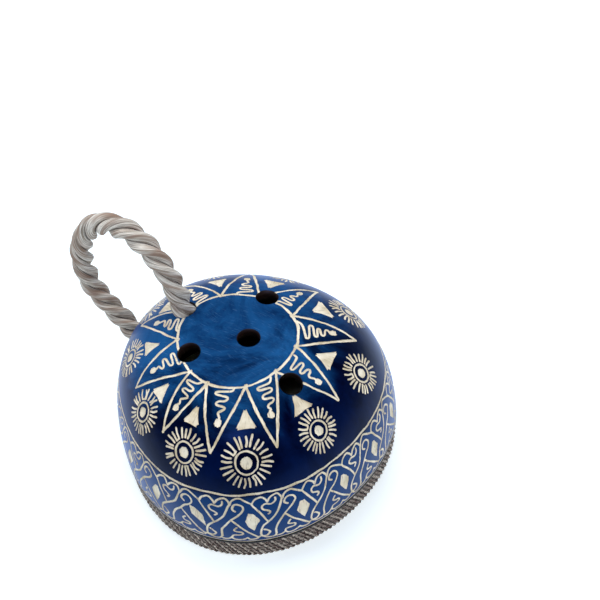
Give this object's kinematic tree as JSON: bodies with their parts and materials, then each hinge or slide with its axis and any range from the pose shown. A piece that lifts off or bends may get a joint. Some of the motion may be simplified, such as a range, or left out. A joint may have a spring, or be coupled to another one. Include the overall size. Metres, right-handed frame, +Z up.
{
  "type": "coconut drum",
  "caption": "Hand drum made from half a coconut shell, carved and lacquered, with a goatskin head, a twine binding, sound holes and a rope handle.",
  "frame": {"origin": "middle of the drumhead's outer face, on the surface that the drum stands on", "axes": "+Z up along the drum's axis from the head to the carved crown, -X toward the rope handle"},
  "size_m": [0.1597, 0.1302, 0.1115],
  "materials": {
    "lacquered_shell": "coconut shell under a glossy dark blue lacquer, carved through to the cream shell",
    "goatskin": "dried goatskin, matt and slightly translucent",
    "twine": "two-ply dark brown twine with light fibres, matt",
    "rope": "three-strand natural plant-fibre rope, matt"
  },
  "bodies": {
    "root": {"coconut_shell": "lacquered_shell", "goatskin_head": "goatskin", "twine_binding": "twine", "rope_handle": "rope"}
  },
  "joints": []
}
